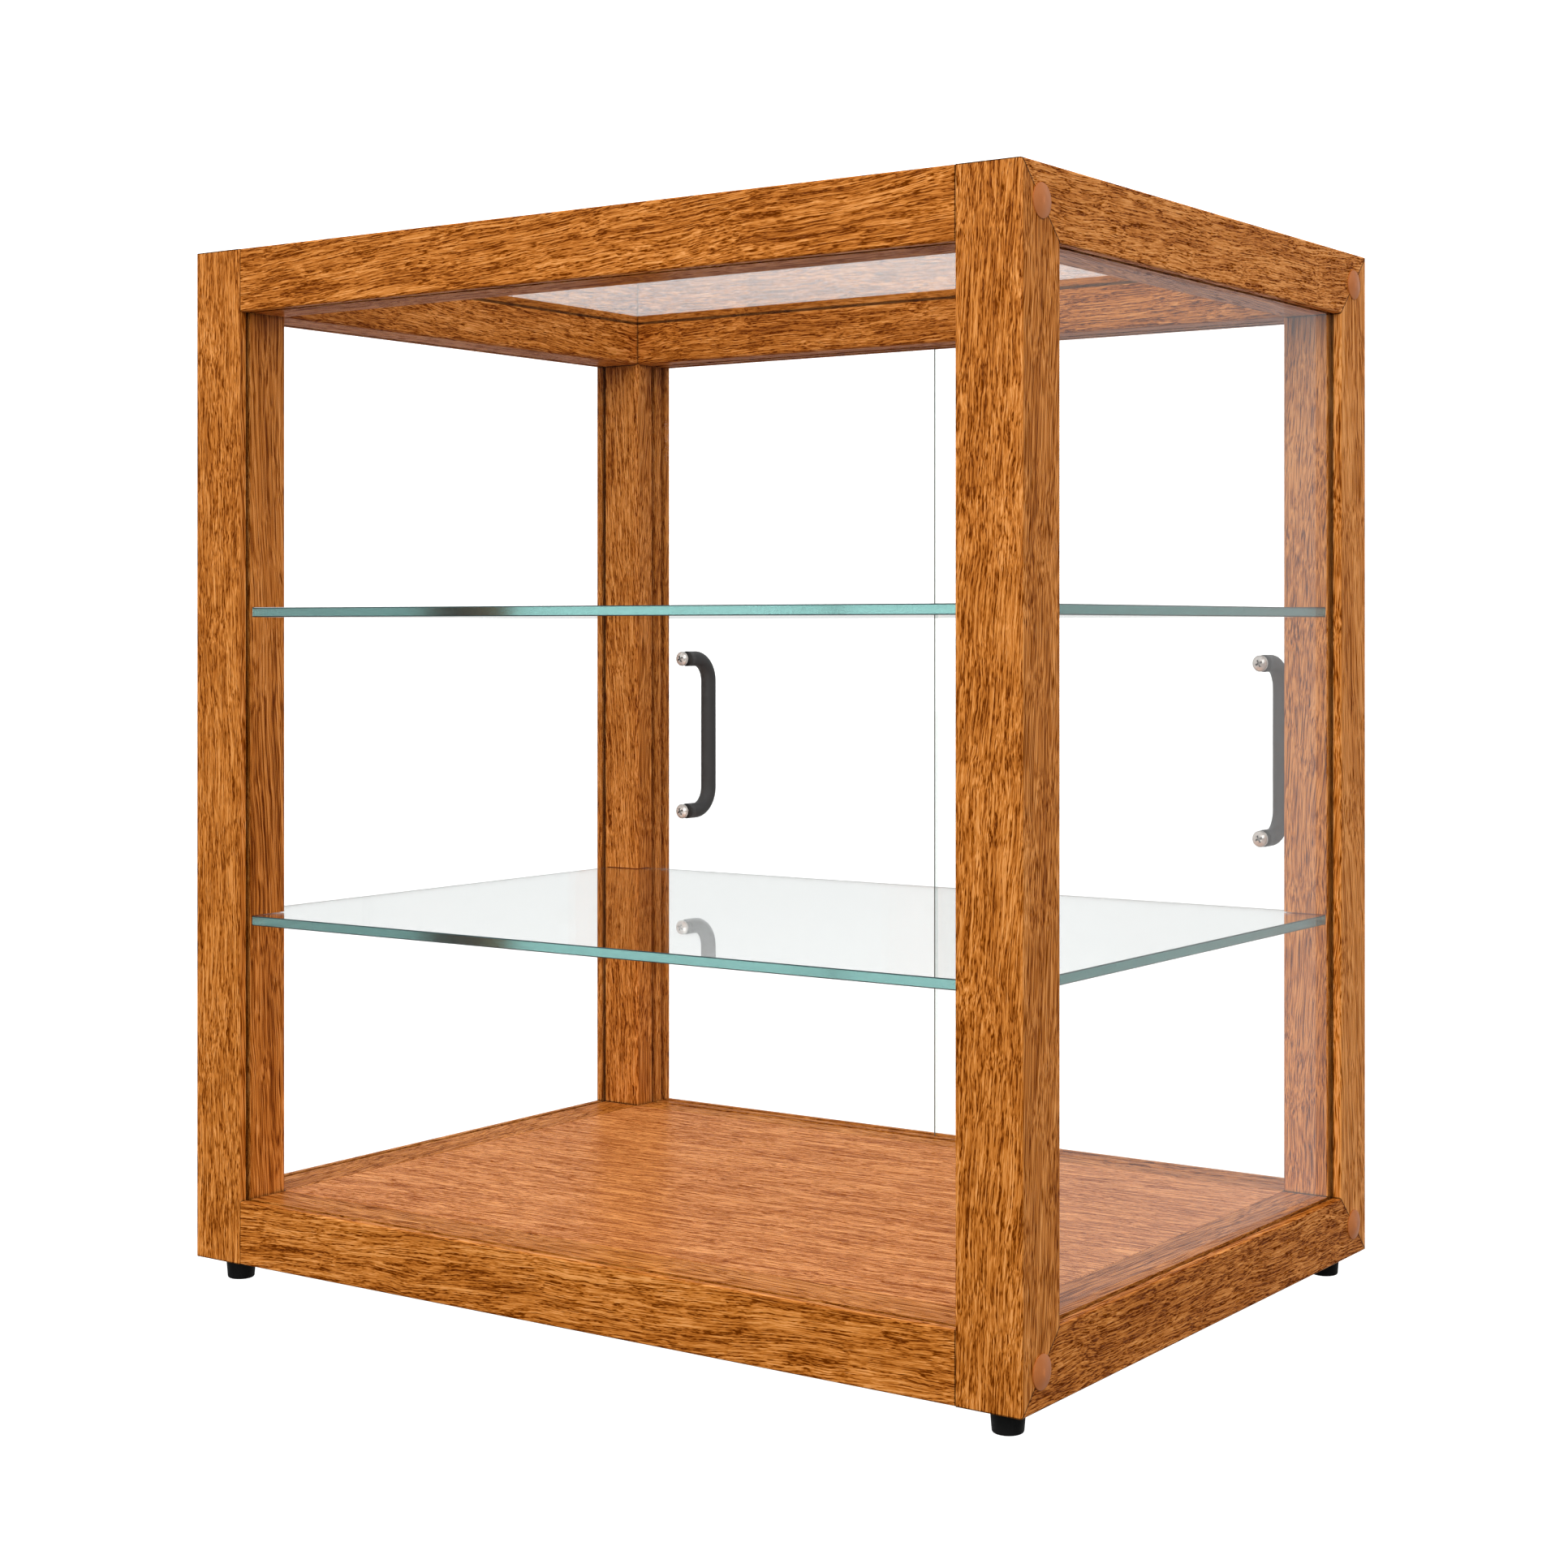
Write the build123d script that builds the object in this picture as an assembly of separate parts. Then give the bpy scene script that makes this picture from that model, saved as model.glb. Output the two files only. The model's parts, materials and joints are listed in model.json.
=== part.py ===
from build123d import *
import math
import os

os.makedirs("parts", exist_ok=True)

# Countertop showcase: an oak frame, glass on five sides, two glass shelves and two
# glass doors that slide sideways in the rear. Millimetres, +Z up, -Y is the front.
# The origin is on the table, under the middle of the whole footprint, handles included.

# ---- driving dimensions ----
width = 504.0
depth = 370.0
frame_height = 533.0
section = 33.0  # every post and rail is square
foot_height = 12.0

face_round = 1.0  # edges of the frame's outer faces
inner_round = 2.0  # edges that face the inside of the case
joint_round = 0.4  # edges beside a butt joint, which leave a fine shadow line

lip = 4.2  # wood outside a fixed pane
groove_width = 3.2
groove_depth = 6.0
pane_thickness = 3.0
pane_entry = 5.0  # how far a pane enters its groove at the sides and top
seat_gap = 0.05  # between parts that rest on each other

shelf_thickness = 5.0
shelf_heights = (177.0, 339.7)  # underside above the frame's bottom face
shelf_rear_gap = 20.5  # from the frame's rear face to the shelf's rear edge
shelf_arris = 0.4
kerf_wall = 1.4  # wood between a shelf's kerf and the groove of the fixed pane beside it
kerf_clearance = 0.2

door_thickness = 4.0
door_overlap = 30.0
door_entry = 5.0  # into the groove of the post beside it
outer_track = 4.2  # from the rear face to the near side of each track
inner_track = 14.0
track_width = 4.6
track_depth_low = 5.0
track_depth_high = 10.0  # deep enough to lift a door out of the lower track

floor_thickness = 12.0
floor_gap = 0.25
tongue_thickness = 5.0

handle_centres = 96.0
handle_bar = 9.4
handle_standoff = 23.5  # from the glass to the middle of the bar
handle_bend = 14.4
handle_x = 194.7
pad_thickness = 1.0
screw_diameter = 4.0
screw_length = 14.0
head_diameter = 8.0
head_edge = 0.5
head_rise = 1.5
recess_span = 4.2  # of the cross recess in a screw's head
recess_width = 1.0
recess_depth = 1.2
recess_turn = 25.0  # degrees
washer_diameter = 9.0
washer_thickness = 0.5
glass_hole = 5.0
bore_clearance = 0.02  # radial, between a screw or dowel and its hole
bore_spare = 1.0  # of a blind hole past the end of what stands in it
ring_clearance = 0.2  # radial, between a screw and the washer, pad or foot round it
screw_point = 0.5  # chamfer at a screw's tip

cap_diameter = 15.4
cap_edge = 0.5
cap_rise = 1.3
cap_stem_diameter = 10.2
cap_stem_length = 5.0
cap_stem_hollow = 7.0
bolt_recess = 7.0  # from the side face to the outside of the bolt's head
bolt_length = 70.0
bolt_head_diameter = 10.0
bolt_head_thickness = 4.0
bolt_collar_diameter = 7.0
bolt_core_diameter = 5.0
bolt_hex = 4.0
bolt_hex_depth = 2.8
counterbore_diameter = 10.4

dowel_diameter = 6.0
dowel_length = 24.0
mitre_dowel_inset = 25.7  # from both outer faces of the corner, on the mitre line
mitre_dowel_depths = (13.0, 23.0)  # from the side face
rail_dowel_inset = (22.0, 10.0)  # across and up or down, from the outer faces
rail_dowel_entry = 12.0  # into the side frame

foot_top_diameter = 16.0
foot_bottom_diameter = 14.0
foot_edge_round = 1.2
foot_recess_diameter = 9.4
foot_recess_depth = 7.5

# ---- places worked out from them ----
bar_radius = handle_bar / 2
handle_overhang = handle_standoff + bar_radius - outer_track - (track_width - door_thickness) / 2
left = -width / 2
front = -(depth + handle_overhang) / 2
rear = front + depth
base = foot_height
top = base + frame_height
half_open = width / 2 - section  # from the centre to a post's inner face
front_in = front + section
rear_in = rear - section
low_in = base + section
high_in = top - section
half_section = section / 2
corner_ys = (front + half_section, rear - half_section)
corner_zs = (base + half_section, top - half_section)
floor_low = low_in - floor_thickness
tongue_low = floor_low + (floor_thickness - tongue_thickness) / 2
kerf_inset = lip + groove_width + kerf_wall  # from the front and side faces


def block(x, y, z):
    """A box between a low and a high value on each axis."""
    spans = (x, y, z)
    sizes = [high - low for low, high in spans]
    middles = [(low + high) / 2 for low, high in spans]
    return Pos(*middles) * Box(*sizes)


def rod(start, direction, length, radius):
    """A cylinder that runs from a point along a direction."""
    stick = Cylinder(radius, length, align=(Align.CENTER, Align.CENTER, Align.MIN))
    return Plane(origin=start, z_dir=direction) * stick


def dome(radius, edge, rise):
    """A round button on the XY plane, with a low edge and a spherical top."""
    ball = (radius**2 + rise**2) / (2 * rise)
    halfway = edge + rise - ball + math.sqrt(ball**2 - (radius / 2) ** 2)
    outline = [
        Line((0, 0), (radius, 0)),
        Line((radius, 0), (radius, edge)),
        ThreePointArc((radius, edge), (radius / 2, halfway), (0, edge + rise)),
        Line((0, edge + rise), (0, 0)),
    ]
    return revolve(Plane.XZ * make_face(outline), Axis.Z)


def other_side(part):
    """The same piece for the right-hand side."""
    return mirror(part, about=Plane.YZ)


def round_long_edges(bar, along, radii):
    """Rounds a bar's long edges. Each entry is a radius and a test of the edge's middle."""
    for radius, belongs in radii:
        chosen = [e for e in bar.edges().filter_by(along) if belongs(e.center())]
        bar = fillet(chosen, radius)
    return bar


# ---- hollows that several pieces share ----
def pane_grooves():
    """Grooves for the fixed glass: front, left, right and top."""
    across = (-half_open - groove_depth, half_open + groove_depth)
    along = (front_in - groove_depth, rear_in + groove_depth)
    upright = (low_in - groove_depth, high_in + groove_depth)
    side = block((left + lip, left + lip + groove_width), along, upright)
    return [
        block(across, (front + lip, front + lip + groove_width), upright),
        side,
        other_side(side),
        block(across, along, (top - lip - groove_width, top - lip)),
    ]


def shelf_kerfs():
    """Level saw kerfs in the posts, which hold the corners of the two shelves."""
    x = left + kerf_inset
    y = (front + kerf_inset, rear - shelf_rear_gap + kerf_clearance)
    kerfs = []
    for height in shelf_heights:
        low = base + height - seat_gap
        kerfs.append(block((x, -x), y, (low, low + shelf_thickness + 2 * kerf_clearance)))
    return kerfs


def door_tracks():
    """The two grooves round the rear opening that the doors run in."""
    reach = half_open + door_entry + kerf_clearance
    upright = (low_in - track_depth_low, high_in + track_depth_high)
    return [
        block((-reach, reach), (rear - near - track_width, rear - near), upright)
        for near in (outer_track, inner_track)
    ]


def floor_groove():
    """The groove for the floor panel's tongue."""
    across = (-half_open - groove_depth, half_open + groove_depth)
    along = (front_in - groove_depth, rear_in + groove_depth)
    low = tongue_low - seat_gap
    return block(across, along, (low, low + tongue_thickness + kerf_clearance))


def bolt_holes():
    """Stepped holes along X through the side frames into the ends of the cross rails."""
    counterbore = bolt_recess + bolt_head_thickness
    length = bolt_recess + bolt_length + bore_spare
    holes = []
    for y in corner_ys:
        for z in corner_zs:
            start = (left, y, z)
            hole = rod(start, (1, 0, 0), counterbore, counterbore_diameter / 2)
            hole += rod(start, (1, 0, 0), section, bolt_collar_diameter / 2 + bore_clearance)
            hole += rod(start, (1, 0, 0), length, bolt_core_diameter / 2 + bore_clearance)
            holes += [hole, other_side(hole)]
    return holes


def corner_places(inset_y, inset_z):
    """The four corners of a side frame, inset in Y and Z from its outer faces."""
    places = []
    for y, inwards in ((front + inset_y, 1), (rear - inset_y, -1)):
        places.append((y, base + inset_z, inwards, 1))
        places.append((y, top - inset_z, inwards, -1))
    return places


def mitre_dowels(extra=0.0):
    """Dowels square to each mitre of the left side frame; extra makes them into holes."""
    sticks = []
    for y, z, inwards, upwards in corner_places(mitre_dowel_inset, mitre_dowel_inset):
        direction = Vector(0, inwards, -upwards).normalized()
        for x in mitre_dowel_depths:
            middle = Vector(left + x, y, z)
            start = middle - direction * (dowel_length / 2 + extra)
            length = dowel_length + 2 * extra
            sticks.append(rod(start, direction, length, dowel_diameter / 2 + extra))
    return sticks


def rail_dowels(extra=0.0):
    """Dowels along X between the left side frame and the ends of the cross rails."""
    start_x = left + section - rail_dowel_entry - extra
    sticks = []
    for y, z, _, _ in corner_places(*rail_dowel_inset):
        length = dowel_length + 2 * extra
        sticks.append(rod((start_x, y, z), (1, 0, 0), length, dowel_diameter / 2 + extra))
    return sticks


def foot_places():
    """The middle of each foot."""
    x = width / 2 - half_section
    return {
        "front_left": (-x, corner_ys[0]),
        "front_right": (x, corner_ys[0]),
        "rear_left": (-x, corner_ys[1]),
        "rear_right": (x, corner_ys[1]),
    }


def foot_screw_reach():
    """The height of the foot screws' tips."""
    return foot_recess_depth - washer_thickness + screw_length


def foot_pilot_holes():
    """Holes in the wood for the foot screws."""
    radius = screw_diameter / 2 + bore_clearance
    length = foot_screw_reach() - base + bore_spare
    return [rod((x, y, base), (0, 0, 1), length, radius) for x, y in foot_places().values()]


def wood_hollows():
    """Everything that is cut out of the posts and rails."""
    sticks = mitre_dowels(bore_clearance) + rail_dowels(bore_clearance)
    sticks += [other_side(stick) for stick in sticks]
    hollows = pane_grooves() + shelf_kerfs() + door_tracks() + [floor_groove()]
    return hollows + bolt_holes() + sticks + foot_pilot_holes()


# ---- wood ----
def side_member(along, y, z, outline):
    """A mitred member of the left side frame: a rounded bar cut to an outline in YZ."""
    bar = block((left, left + section), y, z)
    mid_x = left + half_section
    outer_y = y[0] if y[0] == front else y[1]
    outer_z = z[0] if z[0] == base else z[1]

    def on_rim(point):
        """True at the rim of the whole side frame, false inside its opening."""
        if along == Axis.Z:
            return abs(point.Y - outer_y) < half_section
        return abs(point.Z - outer_z) < half_section

    flush_floor = along == Axis.Y and outer_z == base
    radii = (
        (face_round, lambda point: point.X < mid_x),
        (joint_round, lambda point: point.X > mid_x and on_rim(point)),
        (joint_round if flush_floor else inner_round,
         lambda point: point.X > mid_x and not on_rim(point)),
    )
    bar = round_long_edges(bar, along, radii)
    prism = extrude(Plane.YZ * make_face(Polyline(*outline, close=True)), section)
    return bar & (Pos(left, 0, 0) * prism)


def side_members():
    """The four mitred members of the left side frame."""
    full_y, full_z = (front, rear), (base, top)
    return {
        "post_front": side_member(
            Axis.Z, (front, front_in), full_z,
            [(front, base), (front, top), (front_in, high_in), (front_in, low_in)],
        ),
        "post_rear": side_member(
            Axis.Z, (rear_in, rear), full_z,
            [(rear, base), (rear, top), (rear_in, high_in), (rear_in, low_in)],
        ),
        "top_rail": side_member(
            Axis.Y, full_y, (high_in, top),
            [(front, top), (rear, top), (rear_in, high_in), (front_in, high_in)],
        ),
        "bottom_rail": side_member(
            Axis.Y, full_y, (base, low_in),
            [(front, base), (rear, base), (rear_in, low_in), (front_in, low_in)],
        ),
    }


def cross_rail(y, z):
    """A rail along X that butts against both side frames."""
    mid_y, mid_z = sum(y) / 2, sum(z) / 2
    is_front, is_low = y[0] == front, z[0] == base

    def outside(point):
        """True on the front or rear face of the case."""
        return (point.Y < mid_y) == is_front

    def inside_corner(point):
        """True at the edge that faces the inside of the case."""
        return not outside(point) and (point.Z > mid_z) == is_low

    radii = (
        (face_round, outside),
        (joint_round if is_low else inner_round, inside_corner),
        (joint_round, lambda point: not outside(point) and not inside_corner(point)),
    )
    bar = block((-half_open, half_open), y, z)
    bar = round_long_edges(bar, Axis.X, radii)
    ends = bar.faces().filter_by(Axis.X).edges()
    return chamfer(ends, joint_round / 2)


def floor_panel():
    """The floor, flush with the bottom rails, with a tongue round its edge."""
    edge = half_open - floor_gap
    y = (front_in + floor_gap, rear_in - floor_gap)
    board = block((-edge, edge), y, (floor_low, low_in))
    board = chamfer(board.faces().sort_by(Axis.Z)[-1].edges(), floor_gap)
    tongue = block(
        (-half_open - pane_entry, half_open + pane_entry),
        (front_in - pane_entry, rear_in + pane_entry),
        (tongue_low, tongue_low + tongue_thickness),
    )
    return board + tongue


# ---- glass ----
def pane_span(face):
    """Where a pane stands in its groove, from the frame's outer face inwards."""
    low = face + lip + (groove_width - pane_thickness) / 2
    return (low, low + pane_thickness)


def front_pane():
    x = half_open + pane_entry
    upright = (low_in - groove_depth + seat_gap, high_in + pane_entry)
    return block((-x, x), pane_span(front), upright)


def left_pane():
    y = (front_in - pane_entry, rear_in + pane_entry)
    upright = (low_in - groove_depth + seat_gap, high_in + pane_entry)
    return block(pane_span(left), y, upright)


def top_pane():
    x = half_open + pane_entry
    y = (front_in - pane_entry, rear_in + pane_entry)
    low = top - lip - groove_width + seat_gap
    return block((-x, x), y, (low, low + pane_thickness))


def shelf(height):
    """A loose glass shelf with ground and polished edges."""
    x = width / 2 - kerf_inset - kerf_clearance
    y = (front + kerf_inset + kerf_clearance, rear - shelf_rear_gap)
    plate = block((-x, x), y, (base + height, base + height + shelf_thickness))
    return chamfer(plate.edges().filter_by(Axis.Z, reverse=True), shelf_arris)


def door_outer_face(track):
    """The Y of the rear surface of a door that runs in the given track."""
    return rear - track - (track_width - door_thickness) / 2


def handle_heights():
    """The heights of the two ends of each handle."""
    middle = base + frame_height / 2
    return (middle - handle_centres / 2, middle + handle_centres / 2)


def door(side, track):
    """A glass door; side is -1 for the left one and 1 for the right one."""
    far = side * (half_open + door_entry)
    near = -side * door_overlap / 2
    face = door_outer_face(track)
    upright = (low_in - track_depth_low + kerf_clearance, high_in + door_entry)
    sheet = block((min(far, near), max(far, near)), (face - door_thickness, face), upright)
    sheet = chamfer(sheet.edges().filter_by(Axis.Z), shelf_arris)
    for z in handle_heights():
        sheet -= rod((side * handle_x, face, z), (0, -1, 0), door_thickness, glass_hole / 2)
    return sheet


# ---- handles and their fasteners ----
def handle(side, track):
    """A bent round bar with a threaded hole in each end."""
    x = side * handle_x
    y = door_outer_face(track) + pad_thickness
    bar_y = door_outer_face(track) + handle_standoff
    low, high = handle_heights()
    path = FilletPolyline((x, y, low), (x, bar_y, low), (x, bar_y, high), (x, y, high),
                          radius=handle_bend)
    bar = sweep(Plane(origin=(x, y, low), z_dir=(0, 1, 0)) * Circle(bar_radius), path=path)
    bore = screw_length - washer_thickness - door_thickness - pad_thickness + bore_spare
    for z in (low, high):
        bar -= rod((x, y, z), (0, 1, 0), bore, screw_diameter / 2 + bore_clearance)
    return bar


def ring(start, direction, thickness, radius, hole_radius):
    """A flat washer that starts at a point."""
    return rod(start, direction, thickness, radius) - rod(start, direction, thickness, hole_radius)


def handle_pads(side, track):
    """Soft rings between the handle's ends and the glass."""
    face = door_outer_face(track)
    hole = screw_diameter / 2 + ring_clearance
    return Compound([
        ring((side * handle_x, face, z), (0, 1, 0), pad_thickness, bar_radius, hole)
        for z in handle_heights()
    ])


def handle_washers(side, track):
    """Steel washers on the inside of the glass."""
    face = door_outer_face(track) - door_thickness
    hole = screw_diameter / 2 + ring_clearance
    return Compound([
        ring((side * handle_x, face, z), (0, -1, 0), washer_thickness, washer_diameter / 2, hole)
        for z in handle_heights()
    ])


def pan_screw():
    """A screw with its shank up +Z from the origin and a cross recess in its domed head."""
    head = dome(head_diameter / 2, head_edge, head_rise)
    crown = Pos(0, 0, head_edge + head_rise) * Rot(0, 0, recess_turn)
    for across in (0, 90):
        head -= crown * Rot(0, 0, across) * Box(recess_span, recess_width, 2 * recess_depth)
    shank = rod((0, 0, 0), (0, 0, 1), screw_length, screw_diameter / 2)
    shank = chamfer(shank.edges().sort_by(Axis.Z)[-1], screw_point)
    return Rot(180, 0, 0) * head + shank


def handle_screws(side, track):
    """Screws through the glass into the handle's ends, with their heads inside the case."""
    y = door_outer_face(track) - door_thickness - washer_thickness
    return Compound([
        Plane(origin=(side * handle_x, y, z), x_dir=(1, 0, 0), z_dir=(0, 1, 0)) * pan_screw()
        for z in handle_heights()
    ])


# ---- frame fasteners ----
def frame_bolts():
    """Bolts along X at the corners of the left side frame, with a hexagon socket."""
    bolts = []
    for y in corner_ys:
        for z in corner_zs:
            start = Vector(left + bolt_recess, y, z)
            inwards = (1, 0, 0)
            bolt = rod(start, inwards, bolt_head_thickness, bolt_head_diameter / 2)
            collar_length = section - bolt_recess - bore_spare
            bolt += rod(start, inwards, collar_length, bolt_collar_diameter / 2)
            bolt += rod(start, inwards, bolt_length, bolt_core_diameter / 2)
            socket = extrude(RegularPolygon(bolt_hex / 2, 6, major_radius=False), bolt_hex_depth)
            bolts.append(bolt - Plane(origin=start, z_dir=inwards) * socket)
    return Compound(bolts)


def cover_caps():
    """Domed plastic caps over the bolts of the left side frame."""
    stem = rod((0, 0, 0), (0, 0, -1), cap_stem_length, cap_stem_diameter / 2)
    stem -= rod((0, 0, 0), (0, 0, -1), cap_stem_length, cap_stem_hollow / 2)
    cap = dome(cap_diameter / 2, cap_edge, cap_rise) + stem
    return Compound([
        Plane(origin=(left, y, z), z_dir=(-1, 0, 0)) * cap for y in corner_ys for z in corner_zs
    ])


# ---- feet ----
def foot(x, y):
    """A tapered rubber foot with a recess for its screw."""
    body = Pos(x, y, foot_height / 2) * Cone(
        foot_bottom_diameter / 2, foot_top_diameter / 2, foot_height
    )
    body = fillet(body.edges().sort_by(Axis.Z)[0], foot_edge_round)
    body -= rod((x, y, 0), (0, 0, 1), foot_recess_depth, foot_recess_diameter / 2)
    return body - rod((x, y, 0), (0, 0, 1), foot_height, screw_diameter / 2 + ring_clearance)


def foot_washers():
    """Steel washers in the feet, under the screws' heads."""
    z = foot_recess_depth - washer_thickness
    hole = screw_diameter / 2 + ring_clearance
    return Compound([
        ring((x, y, z), (0, 0, 1), washer_thickness, washer_diameter / 2, hole)
        for x, y in foot_places().values()
    ])


def foot_screws():
    """Screws that hold the feet to the frame."""
    z = foot_recess_depth - washer_thickness
    return Compound([Pos(x, y, z) * pan_screw() for x, y in foot_places().values()])


# ---- all the pieces ----
hollows = wood_hollows()
pieces = {}

for name, member in side_members().items():
    shaped = member - hollows
    pieces[f"{name}_left"] = shaped
    pieces[f"{name}_right"] = other_side(shaped)

for place, y in (("front", (front, front_in)), ("rear", (rear_in, rear))):
    pieces[f"bottom_rail_{place}"] = cross_rail(y, (base, low_in)) - hollows
    pieces[f"top_rail_{place}"] = cross_rail(y, (high_in, top)) - hollows

pieces["floor_panel"] = floor_panel()
pieces["front_pane"] = front_pane()
pieces["left_pane"] = left_pane()
pieces["right_pane"] = other_side(left_pane())
pieces["top_pane"] = top_pane()
for place, height in zip(("lower", "upper"), shelf_heights):
    pieces[f"shelf_{place}"] = shelf(height)

for place, side, track in (("left", -1, inner_track), ("right", 1, outer_track)):
    pieces[f"door_{place}"] = door(side, track)
    pieces[f"handle_{place}"] = handle(side, track)
    pieces[f"handle_pads_{place}"] = handle_pads(side, track)
    pieces[f"handle_washers_{place}"] = handle_washers(side, track)
    pieces[f"handle_screws_{place}"] = handle_screws(side, track)

for name, group in (
    ("frame_bolts", frame_bolts()),
    ("cover_caps", cover_caps()),
    ("mitre_dowels", Compound(mitre_dowels())),
    ("rail_dowels", Compound(rail_dowels())),
):
    pieces[f"{name}_left"] = group
    pieces[f"{name}_right"] = other_side(group)

for place, (x, y) in foot_places().items():
    pieces[f"foot_{place}"] = foot(x, y)
pieces["foot_washers"] = foot_washers()
pieces["foot_screws"] = foot_screws()

for name, piece in pieces.items():
    export_step(piece, f"parts/{name}.step")
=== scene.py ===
"""The looks of the countertop display case: materials, light, floor and camera."""

import json
import math

import bpy
from mathutils import Euler, Matrix, Vector


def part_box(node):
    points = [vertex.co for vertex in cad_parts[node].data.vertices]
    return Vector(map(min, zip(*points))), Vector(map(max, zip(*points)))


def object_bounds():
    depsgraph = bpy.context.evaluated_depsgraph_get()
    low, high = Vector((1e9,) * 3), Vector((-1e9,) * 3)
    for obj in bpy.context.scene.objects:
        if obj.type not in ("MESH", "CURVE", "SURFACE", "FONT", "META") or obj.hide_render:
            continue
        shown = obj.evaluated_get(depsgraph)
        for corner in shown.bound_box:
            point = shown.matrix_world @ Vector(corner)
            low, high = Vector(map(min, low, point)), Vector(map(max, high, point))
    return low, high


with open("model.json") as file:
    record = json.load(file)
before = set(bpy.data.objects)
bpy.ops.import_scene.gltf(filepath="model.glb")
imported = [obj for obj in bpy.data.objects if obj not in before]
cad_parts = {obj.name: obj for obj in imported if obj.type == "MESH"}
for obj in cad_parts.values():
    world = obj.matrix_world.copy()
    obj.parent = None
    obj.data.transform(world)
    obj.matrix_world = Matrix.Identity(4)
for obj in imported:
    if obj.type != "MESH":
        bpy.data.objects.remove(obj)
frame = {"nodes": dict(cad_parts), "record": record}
cad_low, cad_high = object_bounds()

# ---- camera, in metres and degrees ----
CAMERA_DISTANCE = 1.3996  # in plan, from the middle of the case
CAMERA_AZIMUTH = math.radians(34.97)  # seen from the front, towards the right
EYE_HEIGHT = 0.3342  # above the underside of the wooden frame
LENS = 60.1  # mm, on a sensor 36 mm wide
LENS_SHIFT = -0.0998  # the lens is shifted down, so that upright edges stay upright

# ---- light ----
BACKDROP = 1.75  # the walls to the eye, so bright that they stay white through several panes
MIRRORED = 1.0  # in reflections, the wall behind the case, fading round to the dark side
DARK_SIDE = 0.02  # the unlit side of the studio in reflections, at the front left
PIPED = 0.15  # the same side to light that has run along inside a shelf
AMBIENT = 0.79  # soft light all round on matt surfaces
OVERHEAD = 0.30  # more of it from straight above
BOUNCE = 0.06  # the light that comes back up from the floor
FLOOR_GLOW = 1.15  # lifts the pale floor to white, so that shadows on it stay faint
PALE = (0.33, 0.37)  # the floor's paint, from its darker to its lighter patches
FLOOR_REACH = 8.0  # m from the middle of the floor to its sides

# ---- places ----
MM = 0.001
SIDE_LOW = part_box("post_front_left")[0]  # the corners of a side frame
SIDE_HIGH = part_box("post_rear_left")[1]
FRAME_BASE = SIDE_LOW.z
CASE_MIDDLE = Vector((0, (SIDE_LOW.y + SIDE_HIGH.y) / 2, 0))


# ---- short ways to build node trees ----
def srgb(red, green, blue):
    """A display colour, 0 to 255, as the linear colour that nodes take."""
    linear = []
    for value in (red, green, blue):
        share = value / 255
        linear.append(share / 12.92 if share <= 0.04045 else ((share + 0.055) / 1.055) ** 2.4)
    return (*linear, 1.0)


def add(tree, kind, inputs=None, **settings):
    """Adds a node. An input that is a socket gets linked, and any other is a value."""
    made = tree.nodes.new(kind)
    for name, value in settings.items():
        setattr(made, name, value)
    for key, value in (inputs or {}).items():
        if isinstance(value, bpy.types.NodeSocket):
            tree.links.new(value, made.inputs[key])
        else:
            made.inputs[key].default_value = value
    return made


def calc(tree, operation, first, second=0.0, third=0.0, clamp=False):
    """The result of one sum."""
    inputs = {0: first, 1: second, 2: third}
    return add(tree, "ShaderNodeMath", inputs, operation=operation, use_clamp=clamp).outputs[0]


def span(tree, value, low, high, to_low=0.0, to_high=1.0):
    """Maps low..high smoothly to to_low..to_high, and holds it at both ends."""
    inputs = {
        "Value": value,
        "From Min": low,
        "From Max": high,
        "To Min": to_low,
        "To Max": to_high,
    }
    made = add(tree, "ShaderNodeMapRange", inputs, interpolation_type="SMOOTHSTEP")
    return made.outputs["Result"]


def stretch(tree, point, size, offset):
    """Divides a point by the size of a detail on each axis and moves it by an offset."""
    scale = tuple(1 / value for value in size)
    scaled = add(tree, "ShaderNodeVectorMath", {0: point, 1: scale}, operation="MULTIPLY")
    moved = add(tree, "ShaderNodeVectorMath", {0: scaled.outputs[0], 1: offset}, operation="ADD")
    return moved.outputs[0]


def noise(tree, point, size, offset, detail=2.0, roughness=0.5, output="Fac"):
    """Soft random detail of about the given size on each axis."""
    inputs = {
        "Vector": stretch(tree, point, size, offset),
        "Scale": 1.0,
        "Detail": detail,
        "Roughness": roughness,
    }
    return add(tree, "ShaderNodeTexNoise", inputs).outputs[output]


def ramp(tree, value, stops):
    """A colour ramp from (place, colour) pairs."""
    stops = list(stops)
    made = add(tree, "ShaderNodeValToRGB", {"Fac": value})
    elements = made.color_ramp.elements
    while len(elements) < len(stops):
        elements.new(1.0)
    for element, (place, colour) in zip(elements, stops):
        element.position = place
        element.color = colour
    return made.outputs["Color"]


def blend(tree, share, first, second, mode="MIX"):
    """Mixes two colours."""
    inputs = {"Factor": share, "A": first, "B": second}
    made = add(tree, "ShaderNodeMix", data_type="RGBA", blend_type=mode)
    for key, value in inputs.items():
        socket = [s for s in made.inputs if s.name == key and s.type in ("RGBA", "VALUE")]
        socket = [s for s in socket if (s.type == "VALUE") == (key == "Factor")][0]
        if isinstance(value, bpy.types.NodeSocket):
            tree.links.new(value, socket)
        else:
            socket.default_value = value
    return [s for s in made.outputs if s.type == "RGBA"][0]


def choose(tree, test, no, yes):
    """One of two numbers, depending on a test that is 0 or 1."""
    return add(tree, "ShaderNodeMix", {0: test, 2: no, 3: yes}, data_type="FLOAT").outputs[0]


def mixed(tree, share, first, second):
    """Two shaders mixed."""
    inputs = {0: share, 1: first.outputs[0], 2: second.outputs[0]}
    return add(tree, "ShaderNodeMixShader", inputs)


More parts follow.
